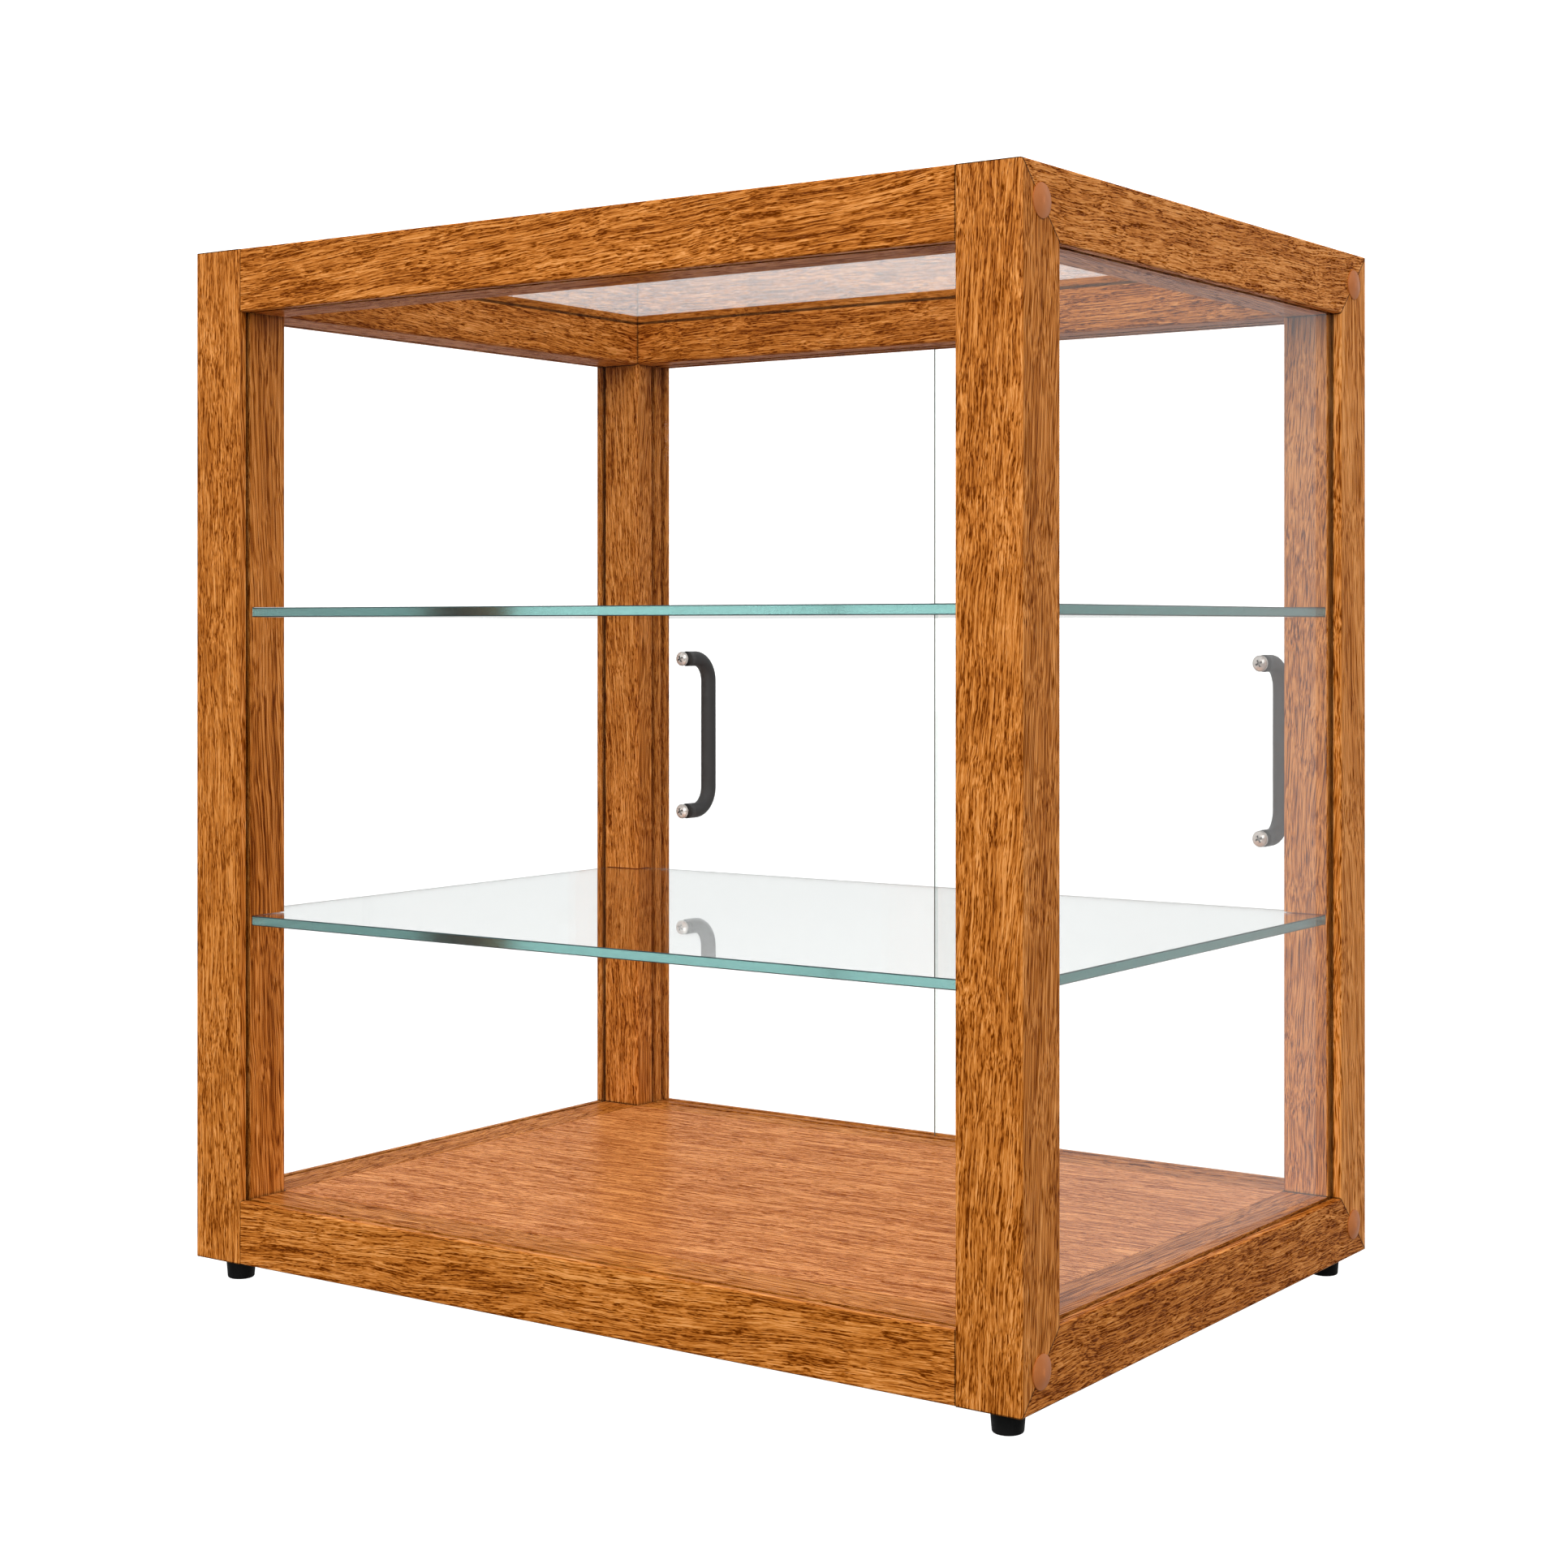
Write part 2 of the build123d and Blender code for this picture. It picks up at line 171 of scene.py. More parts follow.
def blank_material(name):
    """A new material with only an output node."""
    made = bpy.data.materials.new(name)
    made.use_nodes = True
    made.node_tree.nodes.clear()
    return made, made.node_tree, add(made.node_tree, "ShaderNodeOutputMaterial")


def place(tree):
    """The point being shaded, in the row frame, in millimetres."""
    where = add(tree, "ShaderNodeTexCoord").outputs["Object"]
    scaled = add(tree, "ShaderNodeVectorMath", {0: where, 1: (1 / MM,) * 3}, operation="MULTIPLY")
    return scaled.outputs[0]


def side_axis(node, pick):
    """The axis along a piece's longest side with max, or its shortest with min."""
    low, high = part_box(node)
    return pick(zip(high - low, "XYZ"))[1]


def facing_share(tree, axis):
    """How squarely a surface looks along an axis, either way, from 0 to 1."""
    normal = add(tree, "ShaderNodeNewGeometry").outputs["Normal"]
    along = add(tree, "ShaderNodeSeparateXYZ", {0: normal}).outputs["XYZ".index(axis)]
    return calc(tree, "ABSOLUTE", along)


def near_corner(tree, node, axes, arris):
    """1 where the shaded point is within an arris of a piece's outer sides along these axes."""
    low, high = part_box(node)
    point = add(tree, "ShaderNodeSeparateXYZ", {0: place(tree)})
    found = 0.0
    for axis in axes:
        index = "XYZ".index(axis)
        middle = (low[index] + high[index]) / 2 / MM
        reach = (high[index] - low[index]) / 2 / MM - arris
        off = calc(tree, "ABSOLUTE", calc(tree, "SUBTRACT", point.outputs[index], middle))
        found = calc(tree, "MAXIMUM", found, calc(tree, "GREATER_THAN", off, reach))
    return found


def bump(tree, height, depth):
    """Surface relief; height runs from 0 to 1 and depth is in millimetres."""
    inputs = {"Height": height, "Strength": 1.0, "Distance": depth * MM}
    return add(tree, "ShaderNodeBump", inputs).outputs["Normal"]


def surface(tree, output, **inputs):
    """A Principled surface on the material's output."""
    named = {key.replace("_", " "): value for key, value in inputs.items()}
    made = add(tree, "ShaderNodeBsdfPrincipled", named)
    tree.links.new(made.outputs["BSDF"], output.inputs["Surface"])


# ---- oak ----
OAK_TONES = (
    (0.00, srgb(242, 166, 94)),
    (0.25, srgb(219, 138, 61)),
    (0.50, srgb(190, 110, 36)),
    (0.75, srgb(156, 82, 13)),
    (1.00, srgb(104, 45, 0)),
)
# lighter than OAK_TONES: partly the floor panel's own tone and partly painted light on this
# upward-facing panel
FLOOR_TONES_AND_LIGHT = (
    (0.00, srgb(252, 172, 102)),
    (0.25, srgb(232, 150, 82)),
    (0.50, srgb(213, 130, 65)),
    (0.75, srgb(190, 108, 48)),
    (1.00, srgb(146, 74, 25)),
)
PIECE_TONE_AND_LIGHT = {  # pieces that are darker than the rest, or lighter where it is negative: partly each piece's own tone and partly painted light and shade, so bottom_rail_right is darkened as painted shade and post_rear_right lightened as painted light
    "bottom_rail_right": 0.12,
    "top_rail_front": 0.05,
    "top_rail_rear": 0.04,
    "bottom_rail_front": -0.02,
    "top_rail_right": -0.04,
    "post_rear_left": -0.04,
    "post_rear_right": -0.14,
}
RIFT_SAWN = {"post_rear_right": "Z"}  # plain-sawn faces would look along Z, so it has none
RUNOUT = math.radians(4.0)  # how far the grain can lean away from a piece's length
SLOW_WANDER = ((90, 30, 30), 9.0)  # how the grain wanders: in mm, its length and its reach
QUICK_WANDER = ((11, 6, 6), 1.1)
RIFT_STRETCH = 0.20  # detail on faces that aren't plain-sawn runs on five times as long
SATIN_SHARE = 0.30  # how much of the wood's surface is closed by the oil and shines
PORE_DEPTH = 0.06  # mm
PORE_SHADE = 0.62  # how much darker a pore is in early wood
EARLY_SHARE = 0.3  # how much less of that a pore has in late wood
MIDDLE_TONE = 0.42  # where plain wood lies between the lightest and the darkest tone
GRAIN = {  # size in mm along, across and through the grain, levels of detail, and roughness
    "clouds": ((80, 12, 12), 2.0, 0.5),
    "bands": ((60, 3.5, 3.5), 2.0, 0.5),
    "lines": ((45, 0.65, 0.65), 1.0, 0.5),
    "fibres": ((10, 0.34, 0.34), 2.0, 0.6),
    "breaks": ((3.6, 0.5, 0.5), 1.0, 0.5),
}
TONE_SHIFT = {  # how far each lightens and darkens the wood
    "lines": (-0.24, 0.26),
    "fibres": (-0.30, 0.30),
    "bands": (-0.14, 0.14),
    "clouds": (-0.10, 0.10),
}
GROOVE = 5.0  # mm; painted shade darkens what lies within this reach of other wood on nearly all sides
JOINT_LINE = 0.5  # mm; how wide the painted shade line beside a joint is
PANE_LINE = 0.9  # mm; the same under the top pane
JOINT_DARK = 0.25  # how much of the wood's colour is left in these painted shade lines


def along_grain(tree, axis, seed):
    """The shaded point in mm, turned so that the grain of this piece runs along local X."""
    to_local = {
        "X": Matrix.Identity(3),
        "Y": Matrix.Rotation(-math.pi / 2, 3, "Z"),
        "Z": Matrix.Rotation(math.pi / 2, 3, "Y"),
    }[axis]
    lean = Euler((0, RUNOUT * math.sin(seed * 2.4), RUNOUT * math.cos(seed * 1.7)))
    turn = (lean.to_matrix() @ to_local).to_euler()
    inputs = {"Vector": place(tree), "Rotation": turn}
    return add(tree, "ShaderNodeMapping", inputs, vector_type="POINT").outputs[0]


def wander(tree, point, size, reach, offset):
    """Moves a point sideways by up to about half the reach, so that straight grain wanders."""
    random = noise(tree, point, size, offset, 2.0, output="Color")
    centred = add(tree, "ShaderNodeVectorMath", {0: random, 1: (0.5,) * 3}, operation="SUBTRACT")
    shift = add(tree, "ShaderNodeVectorMath", {0: centred.outputs[0], 1: (0, reach, reach)},
                operation="MULTIPLY")
    moved = add(tree, "ShaderNodeVectorMath", {0: point, 1: shift.outputs[0]}, operation="ADD")
    return moved.outputs[0]


def growth_rings(tree, point, seed, width):
    """1 in the open early wood of each growth ring and 0 in the dense late wood."""
    pith = (0, 60 + 25 * math.sin(seed * 1.3), 70 + 25 * math.cos(seed * 2.1))
    moved = add(tree, "ShaderNodeVectorMath", {0: point, 1: pith}, operation="ADD").outputs[0]
    flat = add(tree, "ShaderNodeVectorMath", {0: moved, 1: (0, 1, 1)}, operation="MULTIPLY")
    radius = add(tree, "ShaderNodeVectorMath", {0: flat.outputs[0]}, operation="LENGTH")
    within = calc(tree, "FRACT", calc(tree, "DIVIDE", radius.outputs["Value"], width))
    return calc(tree, "MULTIPLY", span(tree, within, 0.0, 0.3), span(tree, within, 1.0, 0.5))


def painted_groove_shade(tree):
    """Painted shade: 1 on open wood, and nearly 0 deep in a groove, where no light gets in."""
    near = add(tree, "ShaderNodeAmbientOcclusion", {"Distance": GROOVE * MM}, samples=4)
    return span(tree, near.outputs["AO"], 0.20, 0.62, 0.02, 1.0)


def painted_joint_shade(tree, node, axis):
    """1 on open wood, and less in a painted shade line beside a joint, where the gap between the
    pieces lies in shadow, and under the top pane. Rails along X butt against the side frames, whose
    own pieces are mitred."""
    if node == "floor_panel":
        return 1.0
    if axis == "X":
        beside = near_corner(tree, node, "X", JOINT_LINE)
    else:
        point = add(tree, "ShaderNodeSeparateXYZ", {0: place(tree)})
        inset = []
        for index in (1, 2):
            middle = (SIDE_LOW[index] + SIDE_HIGH[index]) / 2 / MM
            half = (SIDE_HIGH[index] - SIDE_LOW[index]) / 2 / MM
            off = calc(tree, "ABSOLUTE", calc(tree, "SUBTRACT", point.outputs[index], middle))
            inset.append(calc(tree, "SUBTRACT", half, off))
        apart = calc(tree, "ABSOLUTE", calc(tree, "SUBTRACT", *inset))
        beside = calc(tree, "LESS_THAN", apart, JOINT_LINE)
    if node.startswith("top_rail"):
        beside = calc(tree, "MAXIMUM", beside, painted_pane_shadow(tree, node, axis))
    return calc(tree, "MULTIPLY_ADD", beside, JOINT_DARK - 1.0, 1.0)


def painted_pane_shadow(tree, node, axis):
    """1 on a top rail's inner face in a narrow line of painted shadow under the top pane, where the
    gap at the groove's mouth lies in shade.
    """
    point = add(tree, "ShaderNodeSeparateXYZ", {0: place(tree)})
    across = 1 if axis == "X" else 0
    low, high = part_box(node)
    inner = min(low[across], high[across], key=lambda side: abs(side - CASE_MIDDLE[across])) / MM
    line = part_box("top_pane")[0].z / MM - PANE_LINE / 2
    inputs = {0: point.outputs[across], 1: inner, 2: 1.0}
    at_face = add(tree, "ShaderNodeMath", inputs, operation="COMPARE").outputs[0]
    inputs = {0: point.outputs["Z"], 1: line, 2: PANE_LINE / 2}
    at_line = add(tree, "ShaderNodeMath", inputs, operation="COMPARE").outputs[0]
    return calc(tree, "MULTIPLY", at_face, at_line)


def oak(node, axis, cut, seed, tones=OAK_TONES, shade=0.0, contrast=1.0, ring_width=5.0):
    """Stained open-grain oak for one piece. Its grain runs along axis, and its plain-sawn faces
    look along cut. The other faces have longer, quieter lines."""
    made, tree, output = blank_material("oak_" + node)
    offset = (seed * 17.31, seed * 5.77, seed * 9.13)
    normal = add(tree, "ShaderNodeNewGeometry").outputs["True Normal"]
    across = add(tree, "ShaderNodeSeparateXYZ", {0: normal}).outputs["XYZ".index(cut)]
    plain = calc(tree, "GREATER_THAN", calc(tree, "ABSOLUTE", across), 0.5)
    point = along_grain(tree, axis, seed)
    point = wander(tree, point, *SLOW_WANDER, offset)
    scale = {0: choose(tree, plain, RIFT_STRETCH, 1.0), 1: 1.0, 2: 1.0}
    scale = add(tree, "ShaderNodeCombineXYZ", scale).outputs[0]
    scaled = add(tree, "ShaderNodeVectorMath", {0: point, 1: scale}, operation="MULTIPLY")
    point = wander(tree, scaled.outputs[0], *QUICK_WANDER, offset)
    early = growth_rings(tree, point, seed, ring_width)

    grain = {name: noise(tree, point, size, offset, detail, roughness)
             for name, (size, detail, roughness) in GRAIN.items()}
    long_lines = span(tree, grain["lines"], 0.40, 0.64)
    pores = calc(tree, "MULTIPLY", long_lines, span(tree, grain["breaks"], 0.42, 0.60))
    open_grain = calc(tree, "MULTIPLY_ADD", early, EARLY_SHARE, 1 - EARLY_SHARE)
    dark = calc(tree, "MULTIPLY", pores, calc(tree, "MULTIPLY", open_grain, PORE_SHADE))
    for name, (lighter, darker) in TONE_SHIFT.items():
        shift = span(tree, grain[name], 0.25, 0.75, lighter, darker)
        dark = calc(tree, "ADD", dark, shift)
    dark = calc(tree, "MULTIPLY_ADD", dark, contrast, MIDDLE_TONE + shade, clamp=True)

    # painted shade: darker deep in grooves, beside joints and under the top pane
    unlit = calc(tree, "MULTIPLY", painted_groove_shade(tree), painted_joint_shade(tree, node, axis))
    colour = blend(tree, 1.0, ramp(tree, dark, tones), unlit, "MULTIPLY")
    relief = calc(tree, "SUBTRACT", 1.0, pores)
    bumped = bump(tree, relief, PORE_DEPTH)
    matt = add(tree, "ShaderNodeBsdfPrincipled", {
        "Base Color": colour, "Roughness": 0.8, "Normal": bumped, "Specular IOR Level": 0.0,
    })
    satin = add(tree, "ShaderNodeBsdfPrincipled", {
        "Base Color": colour, "Roughness": span(tree, dark, 0.1, 0.8, 0.24, 0.42),
        "Normal": bumped, "Specular IOR Level": 0.5,
    })
    whole = mixed(tree, calc(tree, "MULTIPLY", relief, SATIN_SHARE), matt, satin)
    tree.links.new(whole.outputs[0], output.inputs["Surface"])
    return made


def beech(name):
    """Plain pale wood for dowels."""
    made, tree, output = blank_material(name)
    point = place(tree)
    lines = noise(tree, point, (2.0, 0.5, 0.5), (0, 0, 0), 3.0, 0.6)
    flecks = noise(tree, point, (0.6, 0.2, 0.2), (7, 3, 1), 1.0)
    shade = calc(tree, "MULTIPLY_ADD", span(tree, flecks, 0.55, 0.7), 0.4, lines, clamp=True)
    colour = ramp(tree, shade, ((0.2, srgb(226, 192, 146)), (0.8, srgb(176, 132, 84))))
    surface(tree, output, Base_Color=colour, Roughness=0.6, Normal=bump(tree, lines, 0.05))
    return made


# ---- glass ----
GLASS_IOR = 1.52
SHEET_TINT = (0.990, 0.993, 0.991, 1)  # what one side of a thin pane lets through
EDGE_TINT = (0.80, 0.84, 0.83, 1)  # the same for its narrow edges, from inside
EDGE_GREENS = (srgb(84, 112, 106), srgb(112, 142, 136))  # those edges from outside
CLEAR_FADE = (2.0, 1.0, 1.5)  # how fast red, green and blue fade in solid glass, per metre
GREEN_FADE = (2.6, 0.65, 0.8)  # the same in a shelf
EDGE_ROUGHNESS = 0.22  # solid glass has its edges ground and then only half polished
SHEET_ARRIS = 1.0  # mm; width of the painted dark line along a thin pane's outer edges, standing in for the light its arris bends away
SOLID_ARRIS = 0.5  # mm; the same painted dark line round the top and the bottom of solid glass
SHEET_LINE = srgb(70, 84, 80)
SOLID_LINE = srgb(48, 72, 74)


def fresnel(tree):
    """The share of light that a glass surface reflects, from outside or from inside."""
    inside = add(tree, "ShaderNodeNewGeometry").outputs["Backfacing"]
    ior = choose(tree, inside, GLASS_IOR, 1 / GLASS_IOR)
    return add(tree, "ShaderNodeFresnel", {"IOR": ior}).outputs[0]


def sheet_glass(node):
    """A thin clear pane: it reflects, and what is behind it shows straight through."""
    made, tree, output = blank_material("glass_" + node)
    point = place(tree)
    thin = side_axis(node, min)
    smear = noise(tree, point, (60, 22, 60), (8, 2, 6), 3.0, 0.6)
    clear = add(tree, "ShaderNodeBsdfTransparent", {"Color": SHEET_TINT})
    mirror = add(tree, "ShaderNodeBsdfGlossy", {
        "Color": (1, 1, 1, 1), "Roughness": span(tree, smear, 0.55, 0.8, 0.0, 0.03),
    })
    face = mixed(tree, fresnel(tree), clear, mirror)

    # a narrow edge is green from outside, and from inside it only dims what is behind it
    ground = noise(tree, point, (0.6, 0.6, 2.5), (4, 7, 1), 2.0)
    green = ramp(tree, ground, zip((0.35, 0.7), EDGE_GREENS))
    outside = add(tree, "ShaderNodeBsdfPrincipled", {"Base Color": green, "Roughness": 0.25})
    inside = add(tree, "ShaderNodeBsdfTransparent", {"Color": EDGE_TINT})
    behind = add(tree, "ShaderNodeNewGeometry").outputs["Backfacing"]
    edge = mixed(tree, behind, outside, inside)
    whole = mixed(tree, calc(tree, "LESS_THAN", facing_share(tree, thin), 0.9), face, edge)

    # painted dark line on the front faces along the outer edges, where a chamfered arris would bend
    # light away
    in_front = calc(tree, "SUBTRACT", 1.0, behind)
    corner = near_corner(tree, node, [axis for axis in "XYZ" if axis != thin], SHEET_ARRIS)
    line = add(tree, "ShaderNodeBsdfPrincipled", {"Base Color": SHEET_LINE, "Roughness": 0.4})
    whole = mixed(tree, calc(tree, "MULTIPLY", in_front, corner), whole, line)
    tree.links.new(whole.outputs[0], output.inputs["Surface"])
    return made


def solid_glass(node, fade):
    """Glass that bends light, for what is seen at a flat angle. It looks green where light has
    run far inside it, by how fast red, green and blue fade."""
    made, tree, output = blank_material("glass_" + node)
    point = place(tree)
    thin = side_axis(node, min)
    on_edge = calc(tree, "LESS_THAN", facing_share(tree, thin), 0.9)
    smear = noise(tree, point, (25, 9, 25), (8, 2, 6), 3.0, 0.6)
    polish = span(tree, smear, 0.5, 0.8, 0.0, 0.01)
    clear = add(tree, "ShaderNodeBsdfGlass", {
        "Color": (1, 1, 1, 1), "IOR": GLASS_IOR,
        "Roughness": choose(tree, on_edge, polish, EDGE_ROUGHNESS),
    })
    # painted dark lines along the arrises of the narrow edges, where a chamfer would bend light
    # away
    line = add(tree, "ShaderNodeBsdfPrincipled", {"Base Color": SOLID_LINE, "Roughness": 0.4})
    corner = calc(tree, "MULTIPLY", on_edge, near_corner(tree, node, thin, SOLID_ARRIS))
    whole = mixed(tree, corner, clear, line)
    tree.links.new(whole.outputs[0], output.inputs["Surface"])
    density = max(fade)
    tint = tuple(1 - value / density for value in fade)
    body = add(tree, "ShaderNodeVolumeAbsorption", {"Color": (*tint, 1), "Density": density})
    tree.links.new(body.outputs[0], output.inputs["Volume"])
    return made


# ---- metal, plastic and rubber ----
RECESS = 1.5  # mm; painted shade darkens what lies within this reach of a screw recess's walls
FEET_GREY = 10
PADS_GREY = 60


def black_paint(name):
    """Matt black powder coat with a fine orange-peel texture."""
    made, tree, output = blank_material(name)
    point = place(tree)
    peel = noise(tree, point, (0.5, 0.5, 0.5), (1, 2, 3), 2.0, 0.6)
    patch = noise(tree, point, (14, 14, 14), (5, 1, 2), 2.0)
    colour = ramp(tree, patch, ((0.3, srgb(65, 65, 66)), (0.7, srgb(73, 73, 74))))
    rough = span(tree, patch, 0.3, 0.7, 0.50, 0.60)
    surface(tree, output, Base_Color=colour, Roughness=rough, Normal=bump(tree, peel, 0.03),
            Specular_IOR_Level=0.4)
    return made


def rubber(name, grey):
    """Matt black rubber, with its usual grey level from 0 to 255."""
    made, tree, output = blank_material(name)
    point = place(tree)
    grain = noise(tree, point, (0.35, 0.35, 0.35), (2, 4, 6), 3.0, 0.65)
    dust = noise(tree, point, (6, 6, 3), (9, 5, 2), 3.0, 0.6)
    colour = ramp(tree, dust, ((0.35, srgb(*(grey,) * 3)), (0.75, srgb(*(grey + 12,) * 3))))
    surface(tree, output, Base_Color=colour, Roughness=span(tree, dust, 0.3, 0.7, 0.62, 0.8),
            Normal=bump(tree, grain, 0.05), Specular_IOR_Level=0.35)
    return made


def steel(name):
    """Plain stainless steel, turned and lightly brushed."""
    made, tree, output = blank_material(name)
    point = place(tree)
    lines = noise(tree, point, (2.5, 0.12, 2.5), (4, 4, 1), 2.0, 0.6)
    cloud = noise(tree, point, (2.2, 2.2, 2.2), (6, 1, 8), 2.0)
    colour = ramp(tree, cloud, ((0.3, srgb(238, 234, 228)), (0.7, srgb(252, 249, 245))))
    # painted shade deep in the screw recess, found by ambient occlusion
    near = add(tree, "ShaderNodeAmbientOcclusion", {"Distance": RECESS * MM}, samples=4)
    lit = span(tree, near.outputs["AO"], 0.35, 0.75, 0.02, 1.0)
    colour = blend(tree, 1.0, colour, lit, "MULTIPLY")
    surface(tree, output, Base_Color=colour, Metallic=0.45,
            Roughness=span(tree, lines, 0.3, 0.7, 0.16, 0.28), Normal=bump(tree, lines, 0.01))
    return made


def cap_plastic(name):
    """Terracotta-brown moulded plastic with a faint speckle."""
    made, tree, output = blank_material(name)
    point = place(tree)
    speck = noise(tree, point, (0.4, 0.4, 0.4), (3, 3, 9), 2.0, 0.6)
    cloud = noise(tree, point, (7, 7, 7), (2, 8, 4), 2.0)
    shade = calc(tree, "MULTIPLY_ADD", speck, 0.4, calc(tree, "MULTIPLY", cloud, 0.6))
    colour = ramp(tree, shade, ((0.3, srgb(202, 120, 58)), (0.7, srgb(188, 106, 48))))
    surface(tree, output, Base_Color=colour, Roughness=span(tree, cloud, 0.3, 0.7, 0.42, 0.52),
            Normal=bump(tree, speck, 0.02), Specular_IOR_Level=0.45)
    return made


# ---- giving each CAD node its material ----
def dress():
    """Gives every CAD node the material of its slot in the record."""
    slots = {part["node"]: part["material_slot"] for part in frame["record"]["subparts"]}
    shared = {
        "black_metal": black_paint("black_powder_coat"),
        "black_rubber": rubber("black_rubber_moulded", FEET_GREY),
        "steel": steel("stainless_steel"),
        "cap_plastic": cap_plastic("terracotta_plastic"),
        "beech": beech("beech_dowel"),
    }
    pads = rubber("grey_rubber_pads", PADS_GREY)
    for seed, (node, slot) in enumerate(sorted(slots.items()), start=1):
        piece = frame["nodes"][node]
        if node == "floor_panel":
            look = oak(node, "X", "Z", seed, FLOOR_TONES_AND_LIGHT, contrast=1.5, ring_width=7.0)
        elif slot == "oak":
            grain = side_axis(node, max)
            cut = RIFT_SAWN.get(node, "X" if grain == "Y" else "Y")
            look = oak(node, grain, cut, seed, shade=PIECE_TONE_AND_LIGHT.get(node, 0.0))
        elif node == "top_pane":
            look = solid_glass(node, CLEAR_FADE)
        elif slot == "pane_glass":
            look = sheet_glass(node)
        elif slot == "shelf_glass":
            look = solid_glass(node, GREEN_FADE)
        elif node.startswith("handle_pads"):
            look = pads
        else:
            look = shared[slot]
        for holder in piece.material_slots:
            holder.material = look
        if slot.endswith("glass"):  # soft light passes glass as if it weren't there
            piece.visible_shadow = False
            piece.visible_diffuse = False


# ---- studio ----
def mirrored_glow(tree, heading):
    """What shiny surfaces mirror: white behind the case and to its right, dark at its front. It
    is lighter all round for light that has run along inside a shelf."""
    away = (-math.sin(CAMERA_AZIMUTH), math.cos(CAMERA_AZIMUTH), 0.0)
    facing = add(tree, "ShaderNodeVectorMath", {0: heading, 1: away}, operation="DOT_PRODUCT")
    inputs = {"Value": facing.outputs["Value"], "From Min": -0.10, "From Max": 1.0,
              "To Min": DARK_SIDE, "To Max": MIRRORED}
    mirrored = add(tree, "ShaderNodeMapRange", inputs).outputs["Result"]
    inputs.update({"From Min": -1.0, "To Min": PIPED})
    piped = add(tree, "ShaderNodeMapRange", inputs).outputs["Result"]
    return choose(tree, after(tree, "Transmission"), mirrored, piped)


def after(tree, kind):
    """1 once the light path has had a bounce of this kind: Diffuse, Glossy or Transmission."""
    depth = add(tree, "ShaderNodeLightPath").outputs[kind + " Depth"]
    return calc(tree, "GREATER_THAN", depth, 0.5)


def studio_floor():
    """A plain pale floor that the feet stand on. Mirrored, it looks the same as the walls."""
    mesh = bpy.data.meshes.new("studio_floor")
    turns = ((-1, -1), (1, -1), (1, 1), (-1, 1))
    corners = [(x * FLOOR_REACH, y * FLOOR_REACH, 0) for x, y in turns]
    mesh.from_pydata(corners, [], [(0, 1, 2, 3)])
    floor = bpy.data.objects.new("studio_floor", mesh)
    floor.location.z = cad_low.z
    bpy.context.scene.collection.objects.link(floor)
    made, tree, output = blank_material("pale_floor")
    mottle = noise(tree, place(tree), (300, 300, 300), (1, 1, 1), 3.0)
    darker, lighter = [(grey, grey, grey, 1) for grey in PALE]
    colour = ramp(tree, mottle, ((0.3, darker), (0.7, lighter)))
    paint = add(tree, "ShaderNodeBsdfDiffuse", {"Color": colour})
    glow = add(tree, "ShaderNodeEmission", {"Color": (1, 1, 1, 1), "Strength": FLOOR_GLOW})
    lit = add(tree, "ShaderNodeAddShader", {0: paint.outputs[0], 1: glow.outputs[0]})
    back = add(tree, "ShaderNodeNewGeometry").outputs["Incoming"]
    heading = add(tree, "ShaderNodeVectorMath", {0: back, 1: (-1, -1, -1)}, operation="MULTIPLY")
    strength = choose(tree, after(tree, "Diffuse"), mirrored_glow(tree, heading.outputs[0]), BOUNCE)
    plain = add(tree, "ShaderNodeEmission", {"Color": (1, 1, 1, 1), "Strength": strength})
    bounced = calc(tree, "MAXIMUM", after(tree, "Diffuse"), after(tree, "Glossy"))
    whole = mixed(tree, bounced, lit, plain)
    tree.links.new(whole.outputs[0], output.inputs["Surface"])
    mesh.materials.append(made)


def studio_walls():
    """White walls all round to the eye, with even light for matt surfaces."""
    world = bpy.data.worlds.new("studio")
    bpy.context.scene.world = world
    world.use_nodes = True
    tree = world.node_tree
    tree.nodes.clear()
    heading = add(tree, "ShaderNodeTexCoord").outputs["Generated"]
    seen = choose(tree, after(tree, "Glossy"), BACKDROP, mirrored_glow(tree, heading))
    upwards = add(tree, "ShaderNodeSeparateXYZ", {0: heading}).outputs["Z"]
    soft = calc(tree, "MULTIPLY_ADD", calc(tree, "MAXIMUM", upwards, 0.0), OVERHEAD, AMBIENT)
    strength = choose(tree, after(tree, "Diffuse"), seen, soft)
    light = add(tree, "ShaderNodeBackground", {"Color": (1, 1, 1, 1), "Strength": strength})
    output = add(tree, "ShaderNodeOutputWorld")
    tree.links.new(light.outputs[0], output.inputs["Surface"])


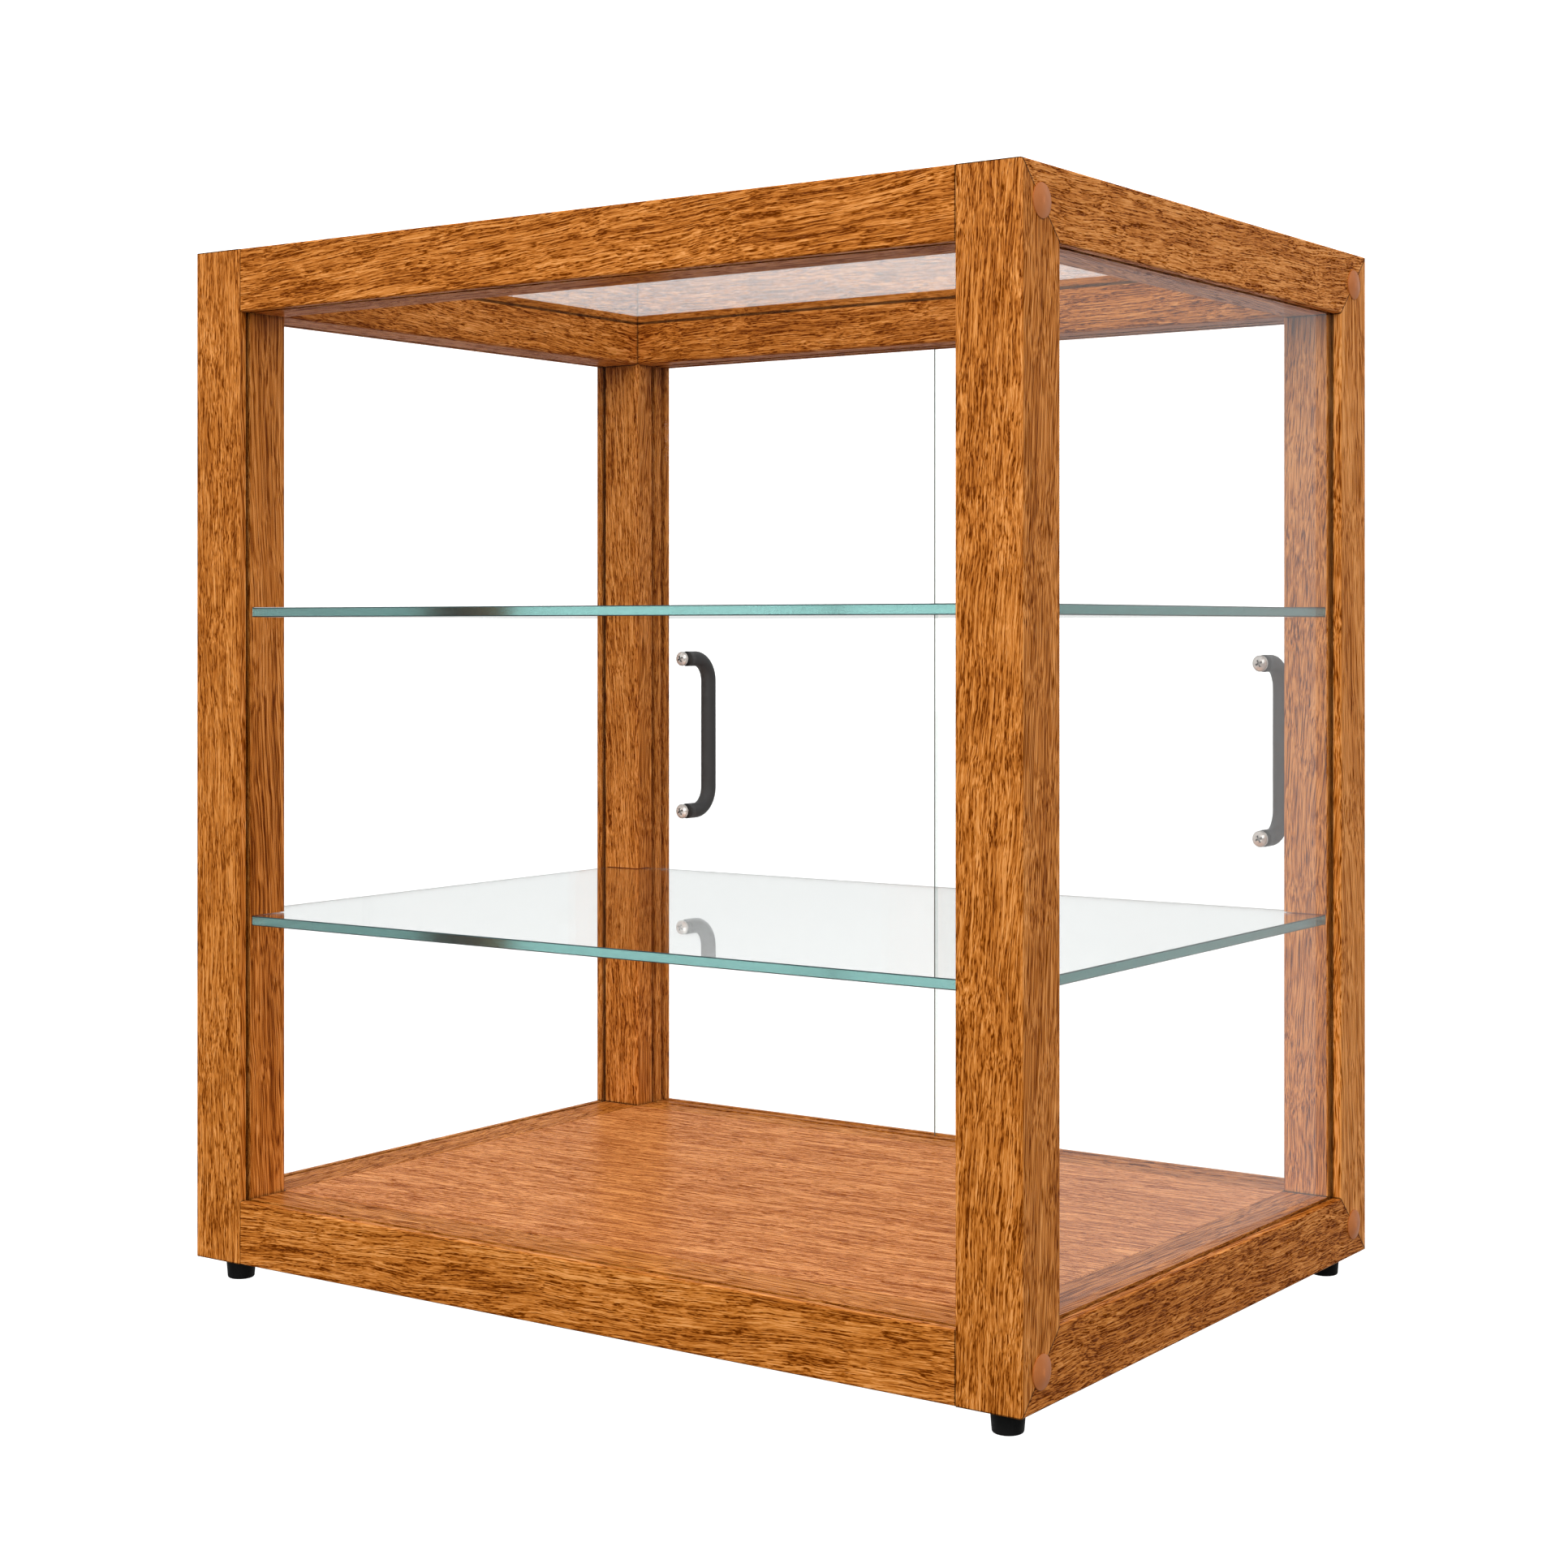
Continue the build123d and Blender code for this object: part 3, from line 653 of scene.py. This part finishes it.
def softbox(name, azimuth, elevation, distance, size, power, mirrored):
    """A large square soft light that faces the middle of the case."""
    data = bpy.data.lights.new(name, "AREA")
    data.shape = "SQUARE"
    data.size = size
    data.energy = power
    lamp = bpy.data.objects.new(name, data)
    turn = math.radians(azimuth)
    lift = math.radians(elevation)
    level = Vector((math.sin(turn), -math.cos(turn), 0)) * math.cos(lift)
    back = level + Vector((0, 0, math.sin(lift)))
    middle = CASE_MIDDLE + Vector((0, 0, (cad_low.z + cad_high.z) / 2))
    lamp.location = middle + back * distance
    lamp.rotation_euler = (-back).to_track_quat("-Z", "Y").to_euler()
    lamp.visible_glossy = mirrored
    bpy.context.scene.collection.objects.link(lamp)


def photo_camera():
    """The camera: level, aimed at the middle of the case, with its lens shifted down."""
    data = bpy.data.cameras.new("photo_camera")
    data.sensor_fit = "HORIZONTAL"
    data.sensor_width = 36.0
    data.lens = LENS
    data.shift_y = LENS_SHIFT
    data.clip_start = 0.05
    camera = bpy.data.objects.new("photo_camera", data)
    aside = Vector((math.sin(CAMERA_AZIMUTH), -math.cos(CAMERA_AZIMUTH), 0)) * CAMERA_DISTANCE
    camera.location = CASE_MIDDLE + aside + Vector((0, 0, FRAME_BASE + EYE_HEIGHT))
    camera.rotation_euler = (math.pi / 2, 0, CAMERA_AZIMUTH)
    bpy.context.scene.collection.objects.link(camera)
    bpy.context.scene.camera = camera


def light_paths():
    """Enough bounces for light to cross several panes and run along inside a shelf."""
    scene = bpy.context.scene
    scene.view_settings.view_transform = "Standard"
    cycles = scene.cycles
    cycles.max_bounces = 40
    cycles.glossy_bounces = 24
    cycles.transmission_bounces = 32
    cycles.transparent_max_bounces = 48
    cycles.diffuse_bounces = 4
    cycles.caustics_reflective = False
    cycles.caustics_refractive = False


dress()
studio_floor()
studio_walls()
softbox("key_softbox", azimuth=20, elevation=25, distance=2.6, size=1.6, power=28, mirrored=True)
softbox("fill_softbox", azimuth=60, elevation=30, distance=2.8, size=1.6, power=5, mirrored=False)
photo_camera()
light_paths()
